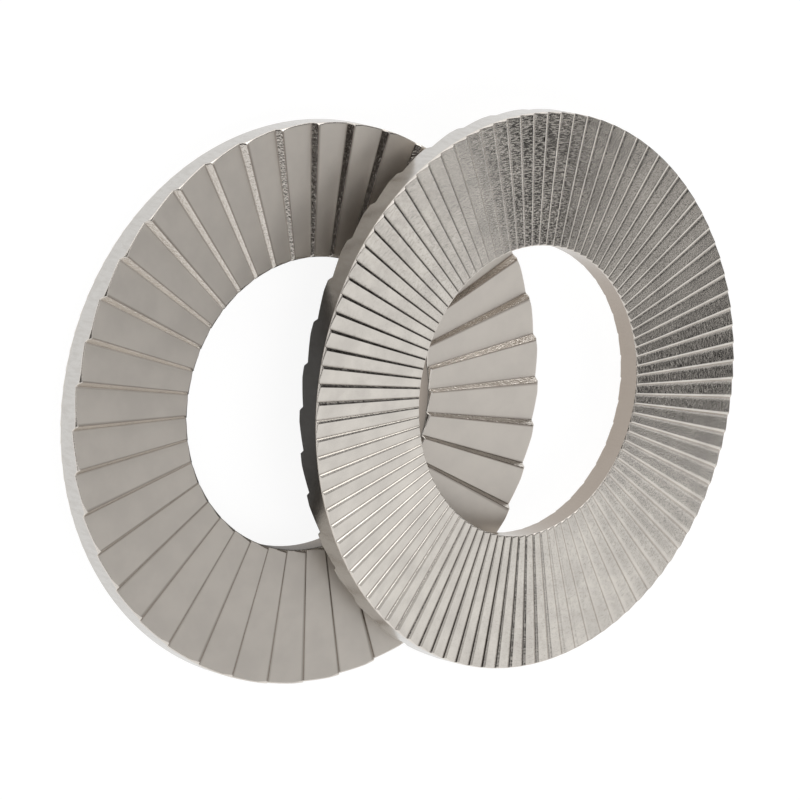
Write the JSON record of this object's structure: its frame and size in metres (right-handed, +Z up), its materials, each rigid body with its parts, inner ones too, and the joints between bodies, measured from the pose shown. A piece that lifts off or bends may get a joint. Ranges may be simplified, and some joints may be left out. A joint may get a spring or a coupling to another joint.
{
  "type": "wedge lock washer pair",
  "caption": "Pair of equal steel lock washers with wedge cams on the inner faces and radial teeth on the outer faces, shown taken apart with one leaning on the other, to lock a bolted joint against vibration.",
  "frame": {"origin": "on the floor, under the middle of the two washers as they lie", "axes": "+Z up along the lower washer's bore, +X from the lower washer's centre to the upper washer's centre"},
  "size_m": [0.0698, 0.0484, 0.0073],
  "materials": {
    "coated_steel": "satin, warm grey coat on forged steel"
  },
  "bodies": {
    "root": {"lower_washer": "coated_steel", "upper_washer": "coated_steel"}
  },
  "joints": []
}
